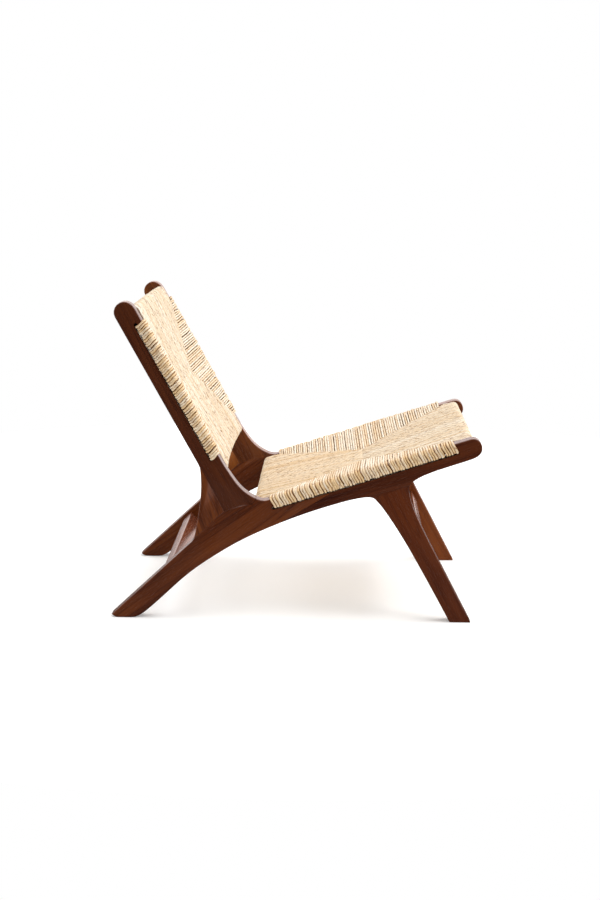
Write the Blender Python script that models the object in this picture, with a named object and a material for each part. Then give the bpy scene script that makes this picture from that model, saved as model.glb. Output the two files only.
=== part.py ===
"""A low lounge chair without arms: two glued-up plank side frames joined by four
seat and back rails and two stretchers, with a rush-woven seat and back.

Metres, +Z up. The chair faces -Y, and its origin is on the floor below the middle
of its bounding box. Side outlines are drawn in a plane of two lengths: forward
(which is -Y) and up (+Z).
"""

import math

import bmesh
import bpy
from mathutils import Matrix, Vector

# Driving dimensions
FRAME_WIDTH = 0.610  # over the outer faces of the two side frames
PLANK = 0.035  # thickness of every side-frame member
EDGE_ROUND = 0.005  # radius worked on the frame's edges after glue-up
EDGE_STEPS = 3
GLUE_GAP = 0.0003  # clearance between neighbouring pieces
RUSH = 0.0045  # one layer of rush cord

SEAT_TILT = 17.8  # degrees, seat rises towards the front
SEAT_ORIGIN = (-0.0821, 0.2555)  # on the seat rail's top line, at its rear
BACK_TILT = -60.6  # degrees, direction down along the back post
BACK_ORIGIN = (-0.2100, 0.3421)  # on the post's rear edge, above the heel

SEAT_STRIP = 0.0155  # depth of the strip that the seat rush is wrapped round
SEAT_SLOT = 0.008  # opening under that strip
SEAT_WRAP = (0.031, 0.440)  # where the rush starts and ends along the strip
BACK_STRIP_AT = 0.0345  # from the post's rear edge to the back strip
BACK_SLOT = 0.008
BACK_WRAP = (-0.318, 0.008)
BACK_FACE = 0.0475  # from the post's rear edge to its front edge
SLOT_MARGIN = 0.0045  # the slots run this much past the rush

WEB = 0.018  # thickness of a panel's stretched middle, both layers and their packing
SEAT_WEB_TOP = 0.0005  # over the seat strip's top line
SEAT_SAG = 0.017  # depth of the seat's hollow at its centre
BACK_SAG = 0.012
WRAP_REACH = 0.090  # how far a side wrap's layers run on into the web
ROLL_ROUND = 0.010  # rounding of the rush where it turns over a rail

TENON = 0.022  # length of each tenon in the frame
TENON_ROOT = 0.010  # how far a tenon's block reaches into its rail to be joined to it
RAIL_ROUND = 0.008
STRETCHER_ROUND = 0.003
CUT_PAST = 0.010  # how far a cutter runs past what it cuts
ROUND_SIDES = 12
CURVE_STEPS = 5
BOW_CUTS = 13  # sections along a bowed rail, the outer two at the frames' inner faces
WEB_STEPS = 10
FLAT = 0.99  # a face looks along an axis when its normal has at least this share of it

WOOD_COLOURS = {
    "post": (0.070, 0.022, 0.011),
    "leg": (0.085, 0.026, 0.012),
    "rail": (0.062, 0.020, 0.010),
    "dowel": (0.360, 0.200, 0.090),
}
RUSH_COLOUR = (0.760, 0.600, 0.370)

inner_face = FRAME_WIDTH / 2 - PLANK
frame_middle = FRAME_WIDTH / 2 - PLANK / 2


class Plane:
    """A drawing plane seen from the side: u runs along its angle and v a quarter turn on."""

    def __init__(self, origin, degrees):
        self.origin = Vector(origin)
        turn = math.radians(degrees)
        self.u = Vector((math.cos(turn), math.sin(turn)))
        self.v = Vector((-math.sin(turn), math.cos(turn)))

    def at(self, u, v):
        """The (forward, up) point at u, v."""
        return self.origin + u * self.u + v * self.v

    def matrix(self, u, v):
        """Local X stays across the chair, local Y becomes u and local Z becomes v."""
        forward, up = self.at(u, v)
        return Matrix((
            (-1.0, 0.0, 0.0, 0.0),
            (0.0, -self.u.x, -self.v.x, -forward),
            (0.0, self.u.y, self.v.y, up),
            (0.0, 0.0, 0.0, 1.0),
        ))


seat = Plane(SEAT_ORIGIN, SEAT_TILT)
back = Plane(BACK_ORIGIN, BACK_TILT)
rear_leg_line = Plane((-0.2800, 0.1050), 43.3)
front_leg_line = Plane((0.2799, 0.1638), -62.5)


# Scene, collections and materials

def clear_scene():
    for obj in list(bpy.data.objects):
        bpy.data.objects.remove(obj, do_unlink=True)


def new_collection(name):
    made = bpy.data.collections.new(name)
    bpy.context.scene.collection.children.link(made)
    return made


def principled(name, colour, roughness):
    material = bpy.data.materials.new(name)
    material.use_nodes = True
    shader = material.node_tree.nodes["Principled BSDF"]
    shader.inputs["Base Color"].default_value = (*colour, 1.0)
    shader.inputs["Roughness"].default_value = roughness
    shader.inputs["Metallic"].default_value = 0.0
    return material


def new_object(name, mesh, collection, material=None):
    obj = bpy.data.objects.new(name, mesh)
    collection.objects.link(obj)
    if material:
        mesh.materials.clear()
        mesh.materials.append(material)
    if collection is cutters:
        obj.hide_render = True
        obj.display_type = "WIRE"
    return obj


# Shapes

def spline_from_knots(spline, knots):
    """Fills a closed Bezier spline. A knot is (forward, up, heading), or
    (forward, up, heading in, heading out) at a corner, headings in degrees."""
    count = len(knots)
    spline.bezier_points.add(count - 1)
    for index, knot in enumerate(knots):
        before = knots[index - 1]
        after = knots[(index + 1) % count]
        here = Vector(knot[:2])
        point = spline.bezier_points[index]
        point.handle_left_type = "FREE"
        point.handle_right_type = "FREE"
        point.co = (*here, 0.0)
        arriving, leaving = knot[2], knot[-1]
        back_reach = handle_reach(Vector(before[:2]), here, before[-1], arriving)
        fore_reach = handle_reach(here, Vector(after[:2]), leaving, after[2])
        point.handle_left = (*(here - back_reach * direction(arriving)), 0.0)
        point.handle_right = (*(here + fore_reach * direction(leaving)), 0.0)
    spline.use_cyclic_u = True


def direction(degrees):
    turn = math.radians(degrees)
    return Vector((math.cos(turn), math.sin(turn)))


def handle_reach(start, end, leaving, arriving):
    """Handle length that makes a circular arc where the two headings belong to one."""
    turn = math.radians((arriving - leaving + 180.0) % 360.0 - 180.0)
    return (end - start).length / (3.0 * math.cos(turn / 4.0) ** 2)


def outline_plank(name, half_thickness, centre_x, knots=None, corners=None):
    """A closed outline in the forward-up plane, given thickness across the chair,
    as a welded mesh whose flat faces are whole."""
    curve = bpy.data.curves.new(name, "CURVE")
    curve.dimensions = "2D"
    curve.fill_mode = "BOTH"
    curve.extrude = half_thickness
    if knots:
        curve.resolution_u = CURVE_STEPS
        spline_from_knots(curve.splines.new("BEZIER"), knots)
    else:
        spline = curve.splines.new("POLY")
        spline.points.add(len(corners) - 1)
        for point, corner in zip(spline.points, corners):
            point.co = (*corner, 0.0, 1.0)
        spline.use_cyclic_u = True
    guide = bpy.data.objects.new(name + "_outline", curve)
    cutters.objects.link(guide)
    bpy.context.view_layer.update()
    graph = bpy.context.evaluated_depsgraph_get()
    mesh = bpy.data.meshes.new_from_object(guide.evaluated_get(graph))
    bpy.data.objects.remove(guide, do_unlink=True)
    work = bmesh.new()
    work.from_mesh(mesh)
    bmesh.ops.remove_doubles(work, verts=work.verts, dist=0.00002)
    bmesh.ops.dissolve_limit(
        work, angle_limit=math.radians(0.1), verts=work.verts, edges=work.edges
    )
    stand = Matrix((
        (0.0, 0.0, -1.0, centre_x),
        (-1.0, 0.0, 0.0, 0.0),
        (0.0, 1.0, 0.0, 0.0),
        (0.0, 0.0, 0.0, 1.0),
    ))
    bmesh.ops.transform(work, matrix=stand, verts=work.verts)
    bmesh.ops.recalc_face_normals(work, faces=work.faces)
    work.to_mesh(mesh)
    work.free()
    return mesh


def round_rim(mesh, radius):
    """Rounds the edges between a plank's two flat faces and its outline."""
    work = bmesh.new()
    work.from_mesh(mesh)
    rim = [
        edge for edge in work.edges
        if len(edge.link_faces) == 2
        and sum(abs(face.normal.x) > FLAT for face in edge.link_faces) == 1
    ]
    bmesh.ops.bevel(
        work, geom=rim, offset=radius, segments=EDGE_STEPS, profile=0.5,
        affect="EDGES", material=-1, clamp_overlap=True,
    )
    work.to_mesh(mesh)
    work.free()


def box_mesh(name, size, matrix, round_along=0.0, round_steps=2, cuts=0, bow=0.0):
    """A box of the given size in local X, Y, Z, placed by a matrix. Its long edges,
    along X, can be rounded, and it can bow along local Z between the side frames."""
    work = bmesh.new()
    bmesh.ops.create_cube(work, size=1.0)
    bmesh.ops.scale(work, vec=size, verts=work.verts)
    if round_along:
        long_edges = [
            edge for edge in work.edges
            if abs(edge.verts[0].co.x - edge.verts[1].co.x) > size[0] / 2
        ]
        bmesh.ops.bevel(
            work, geom=long_edges, offset=round_along, segments=round_steps,
            profile=0.5, affect="EDGES", material=-1,
        )
    for index in range(cuts):
        station = inner_face * (2.0 * index / (cuts - 1) - 1.0)
        bmesh.ops.bisect_plane(
            work, geom=work.verts[:] + work.edges[:] + work.faces[:],
            plane_co=(station, 0.0, 0.0), plane_no=(1.0, 0.0, 0.0), dist=1e-6,
        )
    for vert in work.verts:
        reach = vert.co.x / inner_face
        vert.co.z -= bow * max(0.0, 1.0 - reach * reach)
    bmesh.ops.transform(work, matrix=matrix, verts=work.verts)
    bmesh.ops.recalc_face_normals(work, faces=work.faces)
    mesh = bpy.data.meshes.new(name)
    work.to_mesh(mesh)
    work.free()
    return mesh


def peg_mesh(name, radius, length, centre, heading, across):
    """A round peg lying in the side plane along a heading, centred across the plank."""
    work = bmesh.new()
    bmesh.ops.create_cone(
        work, cap_ends=True, segments=ROUND_SIDES,
        radius1=radius, radius2=radius, depth=length,
    )
    turn = math.radians(heading)
    axis = Vector((0.0, -math.cos(turn), math.sin(turn)))
    place = Matrix.Translation((across, -centre[0], centre[1]))
    place = place @ axis.to_track_quat("Z", "X").to_matrix().to_4x4()
    bmesh.ops.transform(work, matrix=place, verts=work.verts)
    mesh = bpy.data.meshes.new(name)
    work.to_mesh(mesh)
    work.free()
    return mesh


def boolean(obj, mesh, operation, weld=0.00001):
    """Applies one Boolean with a cutter mesh to an object's mesh, and leaves triangles."""
    cutter = new_object("cutter_" + mesh.name, mesh, cutters)
    modifier = obj.modifiers.new(operation.lower(), "BOOLEAN")
    modifier.operation = operation
    modifier.object = cutter
    modifier.solver = "EXACT"
    bpy.context.view_layer.update()
    graph = bpy.context.evaluated_depsgraph_get()
    result = bpy.data.meshes.new_from_object(obj.evaluated_get(graph))
    work = bmesh.new()
    work.from_mesh(result)
    bmesh.ops.remove_doubles(work, verts=work.verts, dist=weld)
    bmesh.ops.triangulate(work, faces=work.faces)
    work.to_mesh(result)
    work.free()
    obj.modifiers.clear()
    old = obj.data
    obj.data = result
    bpy.data.meshes.remove(old)
    bpy.data.objects.remove(cutter, do_unlink=True)


# The side frame, as one glued and shaped blank

def frame_knots():
    """The whole side silhouette, walked from the top of the post down its rear
    edge, round the rear leg, the front leg, the nose and back up the post."""
    post_top_rear = back.at(-0.353, 0.0)
    post_top = back.at(-0.375, 0.023)
    post_top_front = back.at(-0.349, 0.046)
    down_post = BACK_TILT
    up_post = 180.0 + BACK_TILT
    up_leg = 43.2
    down_seat = 180.0 + SEAT_TILT
    rail_end = seat.at(0.468, 0.0)
    rail_start = seat.at(0.024, 0.0)
    return [
        (*post_top_rear, down_post),
        (-0.2115, 0.3448, down_post),
        (-0.2036, 0.3260, -83.0),
        (-0.2018, 0.2900, -90.0),
        (-0.2070, 0.2330, -97.5),
        (-0.2162, 0.1800, -101.0),
        (-0.2235, 0.1682, up_leg - 180.0),
        (-0.3955, 0.0064, up_leg - 180.0, -38.0),
        (-0.3820, 0.0000, 0.0),
        (-0.3540, 0.0000, 0.0),
        (-0.3098, 0.0246, 41.5),
        (-0.2460, 0.0845, 42.8),
        (-0.1498, 0.1544, 32.1),
        (-0.0291, 0.2146, 22.8),
        (0.0949, 0.2590, 16.7),
        (0.1440, 0.2709, 9.0),
        (0.1580, 0.2718, -3.0),
        (0.1700, 0.2678, -45.0),
        (0.1990, 0.2320, -55.5),
        (0.2441, 0.1617, -59.2),
        (0.3350, 0.0000, -61.2, 0.0),
        (0.3801, 0.0000, 0.0, 117.6),
        (0.2880, 0.1750, 117.6),
        (0.2560, 0.2405, 113.6),
        (0.2428, 0.2850, 98.0),
        (0.2440, 0.2995, 68.0),
        (0.2560, 0.3112, 33.0),
        (0.2764, 0.3222, 24.0),
        (0.3379, 0.3448, 19.0),
        (0.3740, 0.3572, 20.5),
        (0.3955, 0.3795, 90.0),
        (0.3780, 0.4014, 180.0),
        (*rail_end, down_seat),
        (*rail_start, down_seat),
        (-0.0832, 0.2657, 156.0),
        (-0.1105, 0.2823, 140.5),
        (-0.1379, 0.3149, 125.0),
        (-0.1610, 0.3514, 119.8),
        (*post_top_front, up_post),
        (*post_top, up_post + 90.0),
    ]


# Where the boards of one side frame are glued: lines in the forward-up plane
GLUE_LINES = {
    "leg_top": [
        (-0.2600, 0.1346), (-0.2130, 0.1800), (-0.1540, 0.2368),
        (-0.1160, 0.2515), (-0.0920, 0.2530), (-0.0780, 0.2800),
    ],
    "heel": [(-0.2180, 0.3500), (-0.2070, 0.3400), (-0.1522, 0.2368)],
    "scarf": [(-0.0650, 0.1933), (0.1900, 0.3508)],
    "shoulder": [(0.1450, 0.2636), (0.2650, 0.3070)],
}

# A point well inside each board, which names the pieces of the sawn blank
BOARDS = {
    "back_post": (-0.2850, 0.5200),
    "post_heel": (-0.1860, 0.2300),
    "rear_leg": (-0.2900, 0.0800),
    "seat_rail": (0.3300, 0.3600),
    "front_leg": (0.2900, 0.1000),
}

# Dowels: name, (forward, up) where each crosses its glue line, heading, radius, length
DOWELS = [
    ("post_dowel_front", (-0.1080, 0.2520), 100.0, 0.004, 0.034),
    ("post_dowel_rear", (-0.1420, 0.2415), 119.0, 0.004, 0.034),
    ("heel_leg_dowel", (-0.1860, 0.2060), 134.0, 0.004, 0.034),
    ("heel_post_dowel", (-0.1780, 0.2885), 27.0, 0.004, 0.030),
    ("scarf_dowel_rear", (0.0174, 0.2442), 121.7, 0.003, 0.015),
    ("scarf_dowel_front", (0.0471, 0.2626), 121.7, 0.003, 0.015),
    ("leg_dowel_rear", (0.1870, 0.2788), 110.0, 0.004, 0.034),
    ("leg_dowel_front", (0.2200, 0.2907), 110.0, 0.004, 0.034),
]


def kerf(name, line):
    """A saw cut of one glue gap's width along a line of points."""
    half = GLUE_GAP / 2.0
    sides = ([], [])
    points = [Vector(point) for point in line]
    for index, point in enumerate(points):
        before = points[max(index - 1, 0)]
        after = points[min(index + 1, len(points) - 1)]
        along = (after - before).normalized()
        normal = Vector((-along.y, along.x))
        sides[0].append(point + half * normal)
        sides[1].append(point - half * normal)
    return outline_plank(name, PLANK, 0.0, corners=sides[0] + sides[1][::-1])


def slot_mesh(name, plane, start, end, low, high, across):
    """A round-ended slot that goes right through one side frame."""
    radius = (high - low) / 2.0
    middle = (low + high) / 2.0
    corners = []
    for centre, first in ((end - radius, -90.0), (start + radius, 90.0)):
        for step in range(5):
            out = radius * direction(first + 45.0 * step)
            corners.append(plane.at(centre + out.x, middle + out.y))
    return outline_plank(name, PLANK, across, corners=corners)


def side_frame(side):
    """The five boards and the dowels of one side, side being 1 (left) or -1 (right)."""
    label = "left" if side > 0 else "right"
    across = side * frame_middle
    blank_mesh = outline_plank(label + "_blank", PLANK / 2.0, across, knots=frame_knots())
    round_rim(blank_mesh, EDGE_ROUND)
    blank = new_object(label + "_blank", blank_mesh, cutters)
    seat_slot = slot_mesh(
        "seat_slot", seat, SEAT_WRAP[0] - SLOT_MARGIN, SEAT_WRAP[1] + SLOT_MARGIN,
        -SEAT_STRIP - SEAT_SLOT, -SEAT_STRIP, across,
    )
    back_slot = slot_mesh(
        "back_slot", back, BACK_WRAP[0] - SLOT_MARGIN, BACK_WRAP[1] + SLOT_MARGIN,
        BACK_STRIP_AT - BACK_SLOT, BACK_STRIP_AT, across,
    )
    boolean(blank, seat_slot, "DIFFERENCE")
    boolean(blank, back_slot, "DIFFERENCE")
    for name, _, _, _, tenon_size, plane, place, _, _ in CROSS_MEMBERS:
        boolean(blank, mortise_mesh(name, tenon_size, plane, place, side), "DIFFERENCE")
    for name, centre, heading, radius, length in DOWELS:
        hole = peg_mesh(name, radius + GLUE_GAP, length + 2 * GLUE_GAP, centre, heading, across)
        boolean(blank, hole, "DIFFERENCE")
        peg = peg_mesh(name, radius, length, centre, heading, across)
        new_object(f"{label}_{name}", peg, chair, dowel_wood)
    for name, line in GLUE_LINES.items():
        saw = kerf(name, line)
        saw.transform(Matrix.Translation((across, 0.0, 0.0)))
        boolean(blank, saw, "DIFFERENCE")
    share_out(blank, label)
    bpy.data.objects.remove(blank, do_unlink=True)


def share_out(blank, label):
    """Splits the sawn blank into its loose boards, each named by the point it holds."""
    work = bmesh.new()
    work.from_mesh(blank.data)
    left = set(work.verts)
    boards = []
    while left:
        reached = {left.pop()}
        edge_of = list(reached)
        while edge_of:
            vert = edge_of.pop()
            for edge in vert.link_edges:
                other = edge.other_vert(vert)
                if other not in reached:
                    reached.add(other)
                    edge_of.append(other)
        left -= reached
        boards.append(reached)
    for number, reached in enumerate(boards):
        piece = work.copy()
        piece.verts.ensure_lookup_table()
        kept = {vert.index for vert in reached}
        spare = [vert for vert in piece.verts if vert.index not in kept]
        bmesh.ops.delete(piece, geom=spare, context="VERTS")
        bmesh.ops.dissolve_limit(
            piece, angle_limit=math.radians(0.05), verts=piece.verts, edges=piece.edges
        )
        mesh = bpy.data.meshes.new(f"{label}_board_{number}")
        piece.to_mesh(mesh)
        piece.free()
        name = board_name(mesh)
        obj = new_object(f"{label}_{name}", mesh, chair, board_wood[name])
        obj.data.shade_smooth()
        obj.data.set_sharp_from_angle(angle=math.radians(40.0))
    work.free()


def board_name(mesh):
    """The board whose marking point lies inside this mesh's flat faces."""
    for name, (forward, up) in BOARDS.items():
        for face in mesh.polygons:
            if abs(face.normal.x) < FLAT:
                continue
            outline = [mesh.vertices[index].co for index in face.vertices]
            if inside(outline, -forward, up):
                return name
    raise ValueError("a piece of the sawn frame holds no marking point")


def inside(outline, y, z):
    """Whether a point lies in a polygon, by counting the sides that it looks past."""
    odd = False
    for index, corner in enumerate(outline):
        before = outline[index - 1]
        if (corner.z > z) != (before.z > z):
            crossing = (before.y - corner.y) * (z - corner.z) / (before.z - corner.z) + corner.y
            if y < crossing:
                odd = not odd
    return odd


# Rails and stretchers between the two sides, with a tenon at each end
# name, size along u, size along v, rounding, tenon (u, v), plane, centre (u, v), bow, colour
CROSS_MEMBERS = [
    ("seat_front_rail", 0.020, 0.034, RAIL_ROUND, (0.010, 0.022), seat, (0.468, -0.0234), 0.0, "rail"),
    ("seat_rear_rail", 0.020, 0.034, RAIL_ROUND, (0.010, 0.022), seat, (0.002, -0.0214), 0.0, "rail"),
    ("back_top_rail", 0.035, 0.019, RAIL_ROUND, (0.024, 0.010), back, (-0.334, 0.035), 0.006, "rail"),
    ("back_lower_rail", 0.035, 0.019, RAIL_ROUND, (0.024, 0.010), back, (0.030, 0.035), 0.009, "rail"),
    ("rear_stretcher", 0.026, 0.034, STRETCHER_ROUND, (0.016, 0.020), rear_leg_line, (0.0, -0.017),
     0.0, "leg"),
    ("front_stretcher", 0.0255, 0.028, STRETCHER_ROUND, (0.016, 0.018), front_leg_line, (0.0, -0.014),
     0.0, "leg"),
]


def mortise_mesh(name, tenon_size, plane, place, side):
    """The pocket that one tenon of a cross member goes into, from the inner face."""
    depth = TENON + GLUE_GAP
    size = (depth + CUT_PAST, tenon_size[0] + 2 * GLUE_GAP, tenon_size[1] + 2 * GLUE_GAP)
    middle = side * (inner_face + (depth - CUT_PAST) / 2.0)
    matrix = Matrix.Translation((middle, 0.0, 0.0)) @ plane.matrix(*place)
    return box_mesh("mortise_" + name, size, matrix)


def cross_member(name, along, deep, rounding, tenon_size, plane, place, bow, colour):
    """One rail or stretcher: a shouldered body, bowed back if it is a back rail."""
    body_length = 2 * (inner_face - GLUE_GAP)
    matrix = plane.matrix(*place)
    cuts = BOW_CUTS if bow else 0
    body = box_mesh(name, (body_length, along, deep), matrix, rounding, 3, cuts, bow)
    obj = new_object(name, body, chair, principled(name + "_wood", WOOD_COLOURS[colour], 0.38))
    for side in (-1, 1):
        size = (TENON + GLUE_GAP + TENON_ROOT, *tenon_size)
        middle = side * (inner_face + (TENON - GLUE_GAP - TENON_ROOT) / 2.0)
        tenon = box_mesh(
            f"{name}_tenon", size, Matrix.Translation((middle, 0.0, 0.0)) @ matrix
        )
        boolean(obj, tenon, "UNION")
    return obj


# The rush panels

def sagging_web(name, plane, ends, bows, top, sag):
    """The stretched middle of a woven panel: a slab that follows the bow of the rails
    at its two ends and dips further towards its centre."""
    start, end = ends
    half_width = inner_face - 2 * GLUE_GAP
    work = bmesh.new()
    bmesh.ops.create_grid(work, x_segments=WEB_STEPS, y_segments=WEB_STEPS, size=1.0)
    for vert in work.verts:
        share = (vert.co.y + 1.0) / 2.0
        bow = bows[0] + share * (bows[1] - bows[0])
        dip = (bow + sag * (1.0 - vert.co.y ** 2)) * (1.0 - vert.co.x ** 2)
        vert.co = (
            vert.co.x * half_width,
            start + share * (end - start),
            top - dip,
        )
    lower = bmesh.ops.extrude_face_region(work, geom=work.faces[:])
    moved = [item for item in lower["geom"] if isinstance(item, bmesh.types.BMVert)]
    bmesh.ops.translate(work, vec=(0.0, 0.0, -WEB), verts=moved)
    bmesh.ops.transform(work, matrix=plane.matrix(0.0, 0.0), verts=work.verts)
    bmesh.ops.recalc_face_normals(work, faces=work.faces)
    bmesh.ops.triangulate(work, faces=work.faces)
    mesh = bpy.data.meshes.new(name)
    work.to_mesh(mesh)
    work.free()
    return mesh


def woven_panel(name, plane, web, rolls, wraps, strip, rails):
    """A rush panel as one closed body: the web, a roll round each rail, a wrap round
    each side strip, and a tunnel where each of those four members passes through."""
    obj = new_object(name, web, chair, rush_cord)
    for number, (u, v, along, deep, bow) in enumerate(rolls):
        size = (2 * (inner_face - 3 * GLUE_GAP), along + 2 * RUSH, deep + 2 * RUSH)
        roll = box_mesh(
            f"{name}_roll_{number}", size, plane.matrix(u, v), ROLL_ROUND, 3,
            BOW_CUTS if bow else 0, bow,
        )
        boolean(obj, roll, "UNION")
    length = wraps[1] - wraps[0]
    for side in (-1, 1):
        width = WRAP_REACH + PLANK + RUSH
        low, high = strip[0] - RUSH, strip[1] + RUSH
        middle = side * (inner_face - WRAP_REACH + width / 2.0)
        place = plane.matrix((wraps[0] + wraps[1]) / 2.0, (low + high) / 2.0)
        wrap = box_mesh(
            f"{name}_wrap", (width, length, high - low),
            Matrix.Translation((middle, 0.0, 0.0)) @ place,
        )
        boolean(obj, wrap, "UNION")
        core = (PLANK + 2 * GLUE_GAP, length + 2 * CUT_PAST, strip[1] - strip[0] + 2 * GLUE_GAP)
        place = plane.matrix((wraps[0] + wraps[1]) / 2.0, (strip[0] + strip[1]) / 2.0)
        tunnel = box_mesh(
            f"{name}_tunnel", core,
            Matrix.Translation((side * frame_middle, 0.0, 0.0)) @ place,
        )
        boolean(obj, tunnel, "DIFFERENCE")
    for number, (u, v, along, deep, bow) in enumerate(rails):
        size = (2 * (inner_face + CUT_PAST), along + 2 * GLUE_GAP, deep + 2 * GLUE_GAP)
        bore = box_mesh(
            f"{name}_bore_{number}", size, plane.matrix(u, v), RAIL_ROUND, 3,
            BOW_CUTS if bow else 0, bow,
        )
        boolean(obj, bore, "DIFFERENCE")
    return obj


def seat_weave():
    front, rear = CROSS_MEMBERS[0], CROSS_MEMBERS[1]
    rails = [(*member[6], member[1], member[2], member[7]) for member in (front, rear)]
    web = sagging_web(
        "seat_web", seat, (rear[6][0], front[6][0]), (rear[7], front[7]), SEAT_WEB_TOP, SEAT_SAG
    )
    return woven_panel("seat_weave", seat, web, rails, SEAT_WRAP, (-SEAT_STRIP, 0.0), rails)


def back_weave():
    top, lower = CROSS_MEMBERS[2], CROSS_MEMBERS[3]
    rails = [(*member[6], member[1], member[2], member[7]) for member in (top, lower)]
    web = sagging_web(
        "back_web", back, (top[6][0], lower[6][0]), (top[7], lower[7]), BACK_FACE, BACK_SAG
    )
    return woven_panel(
        "back_weave", back, web, rails, BACK_WRAP, (BACK_STRIP_AT, BACK_FACE), rails
    )


clear_scene()
chair = new_collection("woven_lounge_chair")
cutters = new_collection("cutters")
post_wood = principled("post_wood", WOOD_COLOURS["post"], 0.36)
leg_wood = principled("leg_wood", WOOD_COLOURS["leg"], 0.36)
rail_wood = principled("rail_wood", WOOD_COLOURS["rail"], 0.38)
dowel_wood = principled("dowel_wood", WOOD_COLOURS["dowel"], 0.60)
rush_cord = principled("rush_cord", RUSH_COLOUR, 0.75)
board_wood = {
    "back_post": post_wood,
    "post_heel": post_wood,
    "rear_leg": leg_wood,
    "seat_rail": rail_wood,
    "front_leg": leg_wood,
}
for side in (-1, 1):
    side_frame(side)
for member in CROSS_MEMBERS:
    cross_member(*member)
seat_weave()
back_weave()
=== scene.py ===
import math
import random

import bmesh
import bpy
from mathutils import Matrix, Vector, noise


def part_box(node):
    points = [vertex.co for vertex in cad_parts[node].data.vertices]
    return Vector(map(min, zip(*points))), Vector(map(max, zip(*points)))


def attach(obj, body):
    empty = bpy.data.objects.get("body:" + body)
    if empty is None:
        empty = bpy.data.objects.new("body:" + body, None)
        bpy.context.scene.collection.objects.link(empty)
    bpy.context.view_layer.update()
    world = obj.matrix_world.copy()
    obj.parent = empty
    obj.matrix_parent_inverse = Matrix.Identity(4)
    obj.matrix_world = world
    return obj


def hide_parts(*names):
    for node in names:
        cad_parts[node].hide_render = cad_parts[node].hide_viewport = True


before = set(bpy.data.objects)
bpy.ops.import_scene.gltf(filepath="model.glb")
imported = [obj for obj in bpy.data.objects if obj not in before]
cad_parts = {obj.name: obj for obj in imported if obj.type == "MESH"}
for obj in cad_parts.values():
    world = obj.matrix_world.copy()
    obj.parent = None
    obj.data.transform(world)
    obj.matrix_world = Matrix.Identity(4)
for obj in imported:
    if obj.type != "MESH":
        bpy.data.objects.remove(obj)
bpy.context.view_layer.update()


# ---------------------------------------------------------------- camera
# The view from the sitter's right, at about standing chest height, a little
# tilted down. The lens is a short telephoto, so the two side frames stay alike.

LENS = 68.8
CAMERA_PLACE = Vector((-3.9016, -0.0819, 0.9951))
CAMERA_YAW = math.radians(-88.835)
CAMERA_TILT = math.radians(80.185)
CAMERA_ROLL = math.radians(0.598)

camera_data = bpy.data.cameras.new("studio_camera")
camera_data.lens = LENS
camera_data.sensor_width = 36.0
camera = bpy.data.objects.new("studio_camera", camera_data)
bpy.context.scene.collection.objects.link(camera)
camera.matrix_world = (
    Matrix.Translation(CAMERA_PLACE)
    @ Matrix.Rotation(CAMERA_YAW, 4, "Z")
    @ Matrix.Rotation(CAMERA_TILT, 4, "X")
    @ Matrix.Rotation(CAMERA_ROLL, 4, "Z")
)
bpy.context.scene.camera = camera
bpy.context.scene.view_settings.view_transform = "Standard"


# ---------------------------------------------------------------- studio
# A white studio: a round pale painted floor under a bright dome that is dimmer on
# the sitter's right, as it is in a real room. Two broad soft lamps light it, one high
# in front and a weaker one overhead, a little behind.

FLOOR_RADIUS = 1.9
FLOOR_SIDES = 96
FLOOR_MIDDLE = 0.55  # how far the floor's middle lies to the sitter's left
FLOOR_COLOUR = (0.90, 0.90, 0.895, 1.0)
FLOOR_GLOW = 0.16  # a little light of the paint's own, as a lit cyclorama has
FLOOR_IN_GLOSS = (0.03, 0.029, 0.028, 1.0)  # how dark the floor looks in polished wood
DOME_EDGE = (-0.90, -0.20)  # between which headings across the chair it turns bright
DOME_BRIGHT = 1.05
DOME_DIM = 0.34
DOME_BRIGHT_IN_GLOSS = 1.50  # what polished wood reflects, at each side
DOME_DIM_IN_GLOSS = 0.02
DOME_TINT_IN_GLOSS = (1.0, 0.89, 0.86)
LAMPS = {  # strength, spread in degrees, heading
    "front_lamp": (2.05, 60.0, (0.05, 0.90, -1.0)),
    "top_lamp": (0.50, 46.0, (-0.12, -0.40, -1.0)),
}

world = bpy.data.worlds.new("white_dome")
bpy.context.scene.world = world
world.use_nodes = True
nodes, links = world.node_tree.nodes, world.node_tree.links
nodes.clear()
ray = nodes.new("ShaderNodeLightPath")


def unlike_in_gloss(plain, reflected):
    """A number that is another one in what the polished wood reflects."""
    node = nodes.new("ShaderNodeMapRange")
    node.inputs["To Min"].default_value = plain
    node.inputs["To Max"].default_value = reflected
    links.new(ray.outputs["Is Glossy Ray"], node.inputs["Value"])
    return node.outputs["Result"]


dome_place = nodes.new("ShaderNodeTexCoord")
dome_axes = nodes.new("ShaderNodeSeparateXYZ")
links.new(dome_place.outputs["Generated"], dome_axes.inputs["Vector"])
side_level = nodes.new("ShaderNodeMapRange")
side_level.interpolation_type = "SMOOTHSTEP"
side_level.inputs["From Min"].default_value = DOME_EDGE[0]
side_level.inputs["From Max"].default_value = DOME_EDGE[1]
links.new(dome_axes.outputs["X"], side_level.inputs["Value"])
links.new(unlike_in_gloss(DOME_DIM, DOME_DIM_IN_GLOSS), side_level.inputs["To Min"])
links.new(unlike_in_gloss(DOME_BRIGHT, DOME_BRIGHT_IN_GLOSS), side_level.inputs["To Max"])
tint = nodes.new("ShaderNodeCombineColor")
for channel, reflected in zip(("Red", "Green", "Blue"), DOME_TINT_IN_GLOSS):
    links.new(unlike_in_gloss(1.0, reflected), tint.inputs[channel])
dome_light = nodes.new("ShaderNodeBackground")
links.new(side_level.outputs["Result"], dome_light.inputs["Strength"])
links.new(tint.outputs["Color"], dome_light.inputs["Color"])
dome_seen = nodes.new("ShaderNodeBackground")
dome_seen.inputs["Color"].default_value = (1.0, 1.0, 1.0, 1.0)
dome_mix = nodes.new("ShaderNodeMixShader")
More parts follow.
